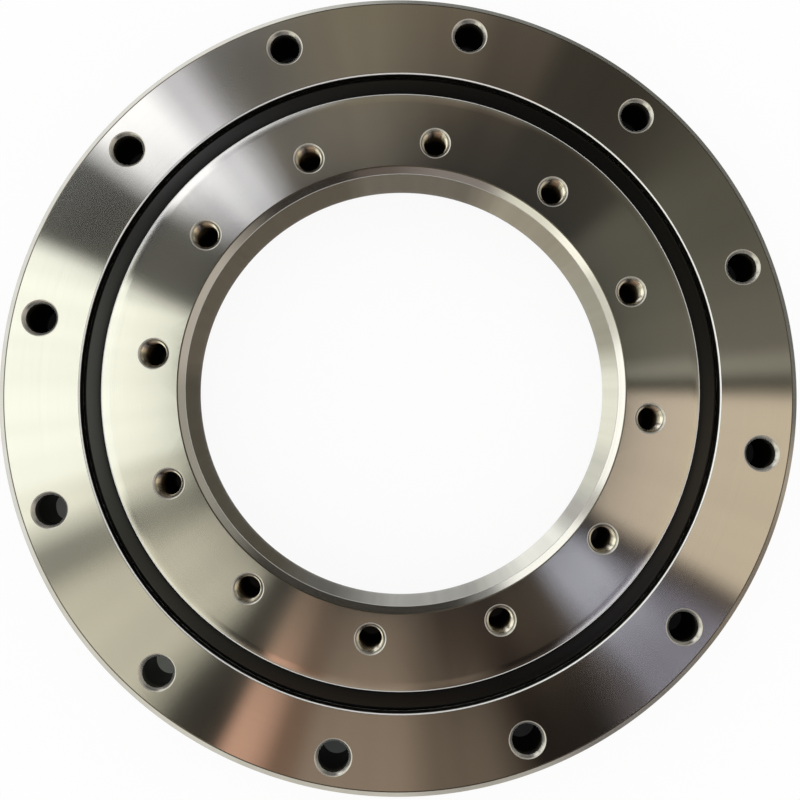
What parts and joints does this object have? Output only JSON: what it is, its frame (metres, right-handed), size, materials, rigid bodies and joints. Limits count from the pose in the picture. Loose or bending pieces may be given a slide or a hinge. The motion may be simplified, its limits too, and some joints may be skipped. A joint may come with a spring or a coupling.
{
  "type": "crossed roller bearing",
  "caption": "Thick crossed roller bearing ring with counterbored bolt holes in the outer ring, tapped holes in the inner ring and a dark seal between them.",
  "frame": {"origin": "centre of the bore at the bottom faces, on the counterbored side", "axes": "+Z along the bearing axis towards the plain face, +X through one outer bolt hole"},
  "size_m": [0.295, 0.295, 0.035],
  "materials": {
    "ground_steel": "ground, with fine circular lines",
    "roller_steel": "superfinished",
    "pin_steel": "drawn",
    "seal_rubber": "matt, moulded",
    "spacer_resin": "moulded, natural colour"
  },
  "bodies": {
    "outer": {"outer_ring": "ground_steel", "filling_plug": "ground_steel", "plug_pin": "pin_steel"},
    "inner": {"inner_ring": "ground_steel", "top_seal": "seal_rubber", "bottom_seal": "seal_rubber"},
    "spacers": {"spacers": "spacer_resin"},
    "roller_01": {"roller_01": "roller_steel"},
    "roller_02": {"roller_02": "roller_steel"},
    "roller_03": {"roller_03": "roller_steel"},
    "roller_04": {"roller_04": "roller_steel"},
    "roller_05": {"roller_05": "roller_steel"},
    "roller_06": {"roller_06": "roller_steel"},
    "roller_07": {"roller_07": "roller_steel"},
    "roller_08": {"roller_08": "roller_steel"},
    "roller_09": {"roller_09": "roller_steel"},
    "roller_10": {"roller_10": "roller_steel"},
    "roller_11": {"roller_11": "roller_steel"},
    "roller_12": {"roller_12": "roller_steel"},
    "roller_13": {"roller_13": "roller_steel"},
    "roller_14": {"roller_14": "roller_steel"},
    "roller_15": {"roller_15": "roller_steel"},
    "roller_16": {"roller_16": "roller_steel"},
    "roller_17": {"roller_17": "roller_steel"},
    "roller_18": {"roller_18": "roller_steel"},
    "roller_19": {"roller_19": "roller_steel"},
    "roller_20": {"roller_20": "roller_steel"},
    "roller_21": {"roller_21": "roller_steel"},
    "roller_22": {"roller_22": "roller_steel"},
    "roller_23": {"roller_23": "roller_steel"},
    "roller_24": {"roller_24": "roller_steel"},
    "roller_25": {"roller_25": "roller_steel"},
    "roller_26": {"roller_26": "roller_steel"},
    "roller_27": {"roller_27": "roller_steel"},
    "roller_28": {"roller_28": "roller_steel"},
    "roller_29": {"roller_29": "roller_steel"},
    "roller_30": {"roller_30": "roller_steel"},
    "roller_31": {"roller_31": "roller_steel"},
    "roller_32": {"roller_32": "roller_steel"},
    "roller_33": {"roller_33": "roller_steel"},
    "roller_34": {"roller_34": "roller_steel"},
    "roller_35": {"roller_35": "roller_steel"},
    "roller_36": {"roller_36": "roller_steel"},
    "roller_37": {"roller_37": "roller_steel"},
    "roller_38": {"roller_38": "roller_steel"},
    "roller_39": {"roller_39": "roller_steel"},
    "roller_40": {"roller_40": "roller_steel"},
    "roller_41": {"roller_41": "roller_steel"},
    "roller_42": {"roller_42": "roller_steel"},
    "roller_43": {"roller_43": "roller_steel"},
    "roller_44": {"roller_44": "roller_steel"},
    "roller_45": {"roller_45": "roller_steel"},
    "roller_46": {"roller_46": "roller_steel"},
    "roller_47": {"roller_47": "roller_steel"},
    "roller_48": {"roller_48": "roller_steel"}
  },
  "joints": [
    {"name": "inner_spin", "type": "hinge", "parent": "outer", "child": "inner", "pos_m": [0, 0, 0.0175], "axis": [0, 0, 1], "continuous": true},
    {"name": "spacer_orbit", "type": "hinge", "parent": "outer", "child": "spacers", "pos_m": [0, 0, 0.0175], "axis": [0, 0, 1], "continuous": true},
    {"name": "roller_01_spin", "type": "hinge", "parent": "spacers", "child": "roller_01", "pos_m": [0.114, 0, 0.0175], "axis": [0.7071, 0, 0.7071], "continuous": true},
    {"name": "roller_02_spin", "type": "hinge", "parent": "spacers", "child": "roller_02", "pos_m": [0.11302, 0.01488, 0.0175], "axis": [0.7011, 0.0923, -0.7071], "continuous": true},
    {"name": "roller_03_spin", "type": "hinge", "parent": "spacers", "child": "roller_03", "pos_m": [0.11012, 0.02951, 0.0175], "axis": [0.683, 0.183, 0.7071], "continuous": true},
    {"name": "roller_04_spin", "type": "hinge", "parent": "spacers", "child": "roller_04", "pos_m": [0.10532, 0.04363, 0.0175], "axis": [0.6533, 0.2706, -0.7071], "continuous": true},
    {"name": "roller_05_spin", "type": "hinge", "parent": "spacers", "child": "roller_05", "pos_m": [0.09873, 0.057, 0.0175], "axis": [0.6124, 0.3536, 0.7071], "continuous": true},
    {"name": "roller_06_spin", "type": "hinge", "parent": "spacers", "child": "roller_06", "pos_m": [0.09044, 0.0694, 0.0175], "axis": [0.561, 0.4305, -0.7071], "continuous": true},
    {"name": "roller_07_spin", "type": "hinge", "parent": "spacers", "child": "roller_07", "pos_m": [0.08061, 0.08061, 0.0175], "axis": [0.5, 0.5, 0.7071], "continuous": true},
    {"name": "roller_08_spin", "type": "hinge", "parent": "spacers", "child": "roller_08", "pos_m": [0.0694, 0.09044, 0.0175], "axis": [0.4305, 0.561, -0.7071], "continuous": true},
    {"name": "roller_09_spin", "type": "hinge", "parent": "spacers", "child": "roller_09", "pos_m": [0.057, 0.09873, 0.0175], "axis": [0.3536, 0.6124, 0.7071], "continuous": true},
    {"name": "roller_10_spin", "type": "hinge", "parent": "spacers", "child": "roller_10", "pos_m": [0.04363, 0.10532, 0.0175], "axis": [0.2706, 0.6533, -0.7071], "continuous": true},
    {"name": "roller_11_spin", "type": "hinge", "parent": "spacers", "child": "roller_11", "pos_m": [0.02951, 0.11012, 0.0175], "axis": [0.183, 0.683, 0.7071], "continuous": true},
    {"name": "roller_12_spin", "type": "hinge", "parent": "spacers", "child": "roller_12", "pos_m": [0.01488, 0.11302, 0.0175], "axis": [0.0923, 0.7011, -0.7071], "continuous": true},
    {"name": "roller_13_spin", "type": "hinge", "parent": "spacers", "child": "roller_13", "pos_m": [0, 0.114, 0.0175], "axis": [0, 0.7071, 0.7071], "continuous": true},
    {"name": "roller_14_spin", "type": "hinge", "parent": "spacers", "child": "roller_14", "pos_m": [-0.01488, 0.11302, 0.0175], "axis": [-0.0923, 0.7011, -0.7071], "continuous": true},
    {"name": "roller_15_spin", "type": "hinge", "parent": "spacers", "child": "roller_15", "pos_m": [-0.02951, 0.11012, 0.0175], "axis": [-0.183, 0.683, 0.7071], "continuous": true},
    {"name": "roller_16_spin", "type": "hinge", "parent": "spacers", "child": "roller_16", "pos_m": [-0.04363, 0.10532, 0.0175], "axis": [-0.2706, 0.6533, -0.7071], "continuous": true},
    {"name": "roller_17_spin", "type": "hinge", "parent": "spacers", "child": "roller_17", "pos_m": [-0.057, 0.09873, 0.0175], "axis": [-0.3536, 0.6124, 0.7071], "continuous": true},
    {"name": "roller_18_spin", "type": "hinge", "parent": "spacers", "child": "roller_18", "pos_m": [-0.0694, 0.09044, 0.0175], "axis": [-0.4305, 0.561, -0.7071], "continuous": true},
    {"name": "roller_19_spin", "type": "hinge", "parent": "spacers", "child": "roller_19", "pos_m": [-0.08061, 0.08061, 0.0175], "axis": [-0.5, 0.5, 0.7071], "continuous": true},
    {"name": "roller_20_spin", "type": "hinge", "parent": "spacers", "child": "roller_20", "pos_m": [-0.09044, 0.0694, 0.0175], "axis": [-0.561, 0.4305, -0.7071], "continuous": true},
    {"name": "roller_21_spin", "type": "hinge", "parent": "spacers", "child": "roller_21", "pos_m": [-0.09873, 0.057, 0.0175], "axis": [-0.6124, 0.3536, 0.7071], "continuous": true},
    {"name": "roller_22_spin", "type": "hinge", "parent": "spacers", "child": "roller_22", "pos_m": [-0.10532, 0.04363, 0.0175], "axis": [-0.6533, 0.2706, -0.7071], "continuous": true},
    {"name": "roller_23_spin", "type": "hinge", "parent": "spacers", "child": "roller_23", "pos_m": [-0.11012, 0.02951, 0.0175], "axis": [-0.683, 0.183, 0.7071], "continuous": true},
    {"name": "roller_24_spin", "type": "hinge", "parent": "spacers", "child": "roller_24", "pos_m": [-0.11302, 0.01488, 0.0175], "axis": [-0.7011, 0.0923, -0.7071], "continuous": true},
    {"name": "roller_25_spin", "type": "hinge", "parent": "spacers", "child": "roller_25", "pos_m": [-0.114, 0, 0.0175], "axis": [-0.7071, 0, 0.7071], "continuous": true},
    {"name": "roller_26_spin", "type": "hinge", "parent": "spacers", "child": "roller_26", "pos_m": [-0.11302, -0.01488, 0.0175], "axis": [-0.7011, -0.0923, -0.7071], "continuous": true},
    {"name": "roller_27_spin", "type": "hinge", "parent": "spacers", "child": "roller_27", "pos_m": [-0.11012, -0.02951, 0.0175], "axis": [-0.683, -0.183, 0.7071], "continuous": true},
    {"name": "roller_28_spin", "type": "hinge", "parent": "spacers", "child": "roller_28", "pos_m": [-0.10532, -0.04363, 0.0175], "axis": [-0.6533, -0.2706, -0.7071], "continuous": true},
    {"name": "roller_29_spin", "type": "hinge", "parent": "spacers", "child": "roller_29", "pos_m": [-0.09873, -0.057, 0.0175], "axis": [-0.6124, -0.3536, 0.7071], "continuous": true},
    {"name": "roller_30_spin", "type": "hinge", "parent": "spacers", "child": "roller_30", "pos_m": [-0.09044, -0.0694, 0.0175], "axis": [-0.561, -0.4305, -0.7071], "continuous": true},
    {"name": "roller_31_spin", "type": "hinge", "parent": "spacers", "child": "roller_31", "pos_m": [-0.08061, -0.08061, 0.0175], "axis": [-0.5, -0.5, 0.7071], "continuous": true},
    {"name": "roller_32_spin", "type": "hinge", "parent": "spacers", "child": "roller_32", "pos_m": [-0.0694, -0.09044, 0.0175], "axis": [-0.4305, -0.561, -0.7071], "continuous": true},
    {"name": "roller_33_spin", "type": "hinge", "parent": "spacers", "child": "roller_33", "pos_m": [-0.057, -0.09873, 0.0175], "axis": [-0.3536, -0.6124, 0.7071], "continuous": true},
    {"name": "roller_34_spin", "type": "hinge", "parent": "spacers", "child": "roller_34", "pos_m": [-0.04363, -0.10532, 0.0175], "axis": [-0.2706, -0.6533, -0.7071], "continuous": true},
    {"name": "roller_35_spin", "type": "hinge", "parent": "spacers", "child": "roller_35", "pos_m": [-0.02951, -0.11012, 0.0175], "axis": [-0.183, -0.683, 0.7071], "continuous": true},
    {"name": "roller_36_spin", "type": "hinge", "parent": "spacers", "child": "roller_36", "pos_m": [-0.01488, -0.11302, 0.0175], "axis": [-0.0923, -0.7011, -0.7071], "continuous": true},
    {"name": "roller_37_spin", "type": "hinge", "parent": "spacers", "child": "roller_37", "pos_m": [0, -0.114, 0.0175], "axis": [0, -0.7071, 0.7071], "continuous": true},
    {"name": "roller_38_spin", "type": "hinge", "parent": "spacers", "child": "roller_38", "pos_m": [0.01488, -0.11302, 0.0175], "axis": [0.0923, -0.7011, -0.7071], "continuous": true},
    {"name": "roller_39_spin", "type": "hinge", "parent": "spacers", "child": "roller_39", "pos_m": [0.02951, -0.11012, 0.0175], "axis": [0.183, -0.683, 0.7071], "continuous": true},
    {"name": "roller_40_spin", "type": "hinge", "parent": "spacers", "child": "roller_40", "pos_m": [0.04363, -0.10532, 0.0175], "axis": [0.2706, -0.6533, -0.7071], "continuous": true},
    {"name": "roller_41_spin", "type": "hinge", "parent": "spacers", "child": "roller_41", "pos_m": [0.057, -0.09873, 0.0175], "axis": [0.3536, -0.6124, 0.7071], "continuous": true},
    {"name": "roller_42_spin", "type": "hinge", "parent": "spacers", "child": "roller_42", "pos_m": [0.0694, -0.09044, 0.0175], "axis": [0.4305, -0.561, -0.7071], "continuous": true},
    {"name": "roller_43_spin", "type": "hinge", "parent": "spacers", "child": "roller_43", "pos_m": [0.08061, -0.08061, 0.0175], "axis": [0.5, -0.5, 0.7071], "continuous": true},
    {"name": "roller_44_spin", "type": "hinge", "parent": "spacers", "child": "roller_44", "pos_m": [0.09044, -0.0694, 0.0175], "axis": [0.561, -0.4305, -0.7071], "continuous": true},
    {"name": "roller_45_spin", "type": "hinge", "parent": "spacers", "child": "roller_45", "pos_m": [0.09873, -0.057, 0.0175], "axis": [0.6124, -0.3536, 0.7071], "continuous": true},
    {"name": "roller_46_spin", "type": "hinge", "parent": "spacers", "child": "roller_46", "pos_m": [0.10532, -0.04363, 0.0175], "axis": [0.6533, -0.2706, -0.7071], "continuous": true},
    {"name": "roller_47_spin", "type": "hinge", "parent": "spacers", "child": "roller_47", "pos_m": [0.11012, -0.02951, 0.0175], "axis": [0.683, -0.183, 0.7071], "continuous": true},
    {"name": "roller_48_spin", "type": "hinge", "parent": "spacers", "child": "roller_48", "pos_m": [0.11302, -0.01488, 0.0175], "axis": [0.7011, -0.0923, -0.7071], "continuous": true}
  ],
  "couplings": [
    {"joint": "spacer_orbit", "follows": "inner_spin", "ratio": 0.48139},
    {"joint": "roller_01_spin", "follows": "inner_spin", "ratio": -9.4868},
    {"joint": "roller_02_spin", "follows": "inner_spin", "ratio": 9.4868},
    {"joint": "roller_03_spin", "follows": "inner_spin", "ratio": -9.4868},
    {"joint": "roller_04_spin", "follows": "inner_spin", "ratio": 9.4868},
    {"joint": "roller_05_spin", "follows": "inner_spin", "ratio": -9.4868},
    {"joint": "roller_06_spin", "follows": "inner_spin", "ratio": 9.4868},
    {"joint": "roller_07_spin", "follows": "inner_spin", "ratio": -9.4868},
    {"joint": "roller_08_spin", "follows": "inner_spin", "ratio": 9.4868},
    {"joint": "roller_09_spin", "follows": "inner_spin", "ratio": -9.4868},
    {"joint": "roller_10_spin", "follows": "inner_spin", "ratio": 9.4868},
    {"joint": "roller_11_spin", "follows": "inner_spin", "ratio": -9.4868},
    {"joint": "roller_12_spin", "follows": "inner_spin", "ratio": 9.4868},
    {"joint": "roller_13_spin", "follows": "inner_spin", "ratio": -9.4868},
    {"joint": "roller_14_spin", "follows": "inner_spin", "ratio": 9.4868},
    {"joint": "roller_15_spin", "follows": "inner_spin", "ratio": -9.4868},
    {"joint": "roller_16_spin", "follows": "inner_spin", "ratio": 9.4868},
    {"joint": "roller_17_spin", "follows": "inner_spin", "ratio": -9.4868},
    {"joint": "roller_18_spin", "follows": "inner_spin", "ratio": 9.4868},
    {"joint": "roller_19_spin", "follows": "inner_spin", "ratio": -9.4868},
    {"joint": "roller_20_spin", "follows": "inner_spin", "ratio": 9.4868},
    {"joint": "roller_21_spin", "follows": "inner_spin", "ratio": -9.4868},
    {"joint": "roller_22_spin", "follows": "inner_spin", "ratio": 9.4868},
    {"joint": "roller_23_spin", "follows": "inner_spin", "ratio": -9.4868},
    {"joint": "roller_24_spin", "follows": "inner_spin", "ratio": 9.4868},
    {"joint": "roller_25_spin", "follows": "inner_spin", "ratio": -9.4868},
    {"joint": "roller_26_spin", "follows": "inner_spin", "ratio": 9.4868},
    {"joint": "roller_27_spin", "follows": "inner_spin", "ratio": -9.4868},
    {"joint": "roller_28_spin", "follows": "inner_spin", "ratio": 9.4868},
    {"joint": "roller_29_spin", "follows": "inner_spin", "ratio": -9.4868},
    {"joint": "roller_30_spin", "follows": "inner_spin", "ratio": 9.4868},
    {"joint": "roller_31_spin", "follows": "inner_spin", "ratio": -9.4868},
    {"joint": "roller_32_spin", "follows": "inner_spin", "ratio": 9.4868},
    {"joint": "roller_33_spin", "follows": "inner_spin", "ratio": -9.4868},
    {"joint": "roller_34_spin", "follows": "inner_spin", "ratio": 9.4868},
    {"joint": "roller_35_spin", "follows": "inner_spin", "ratio": -9.4868},
    {"joint": "roller_36_spin", "follows": "inner_spin", "ratio": 9.4868},
    {"joint": "roller_37_spin", "follows": "inner_spin", "ratio": -9.4868},
    {"joint": "roller_38_spin", "follows": "inner_spin", "ratio": 9.4868},
    {"joint": "roller_39_spin", "follows": "inner_spin", "ratio": -9.4868},
    {"joint": "roller_40_spin", "follows": "inner_spin", "ratio": 9.4868},
    {"joint": "roller_41_spin", "follows": "inner_spin", "ratio": -9.4868},
    {"joint": "roller_42_spin", "follows": "inner_spin", "ratio": 9.4868},
    {"joint": "roller_43_spin", "follows": "inner_spin", "ratio": -9.4868},
    {"joint": "roller_44_spin", "follows": "inner_spin", "ratio": 9.4868},
    {"joint": "roller_45_spin", "follows": "inner_spin", "ratio": -9.4868},
    {"joint": "roller_46_spin", "follows": "inner_spin", "ratio": 9.4868},
    {"joint": "roller_47_spin", "follows": "inner_spin", "ratio": -9.4868},
    {"joint": "roller_48_spin", "follows": "inner_spin", "ratio": 9.4868}
  ]
}
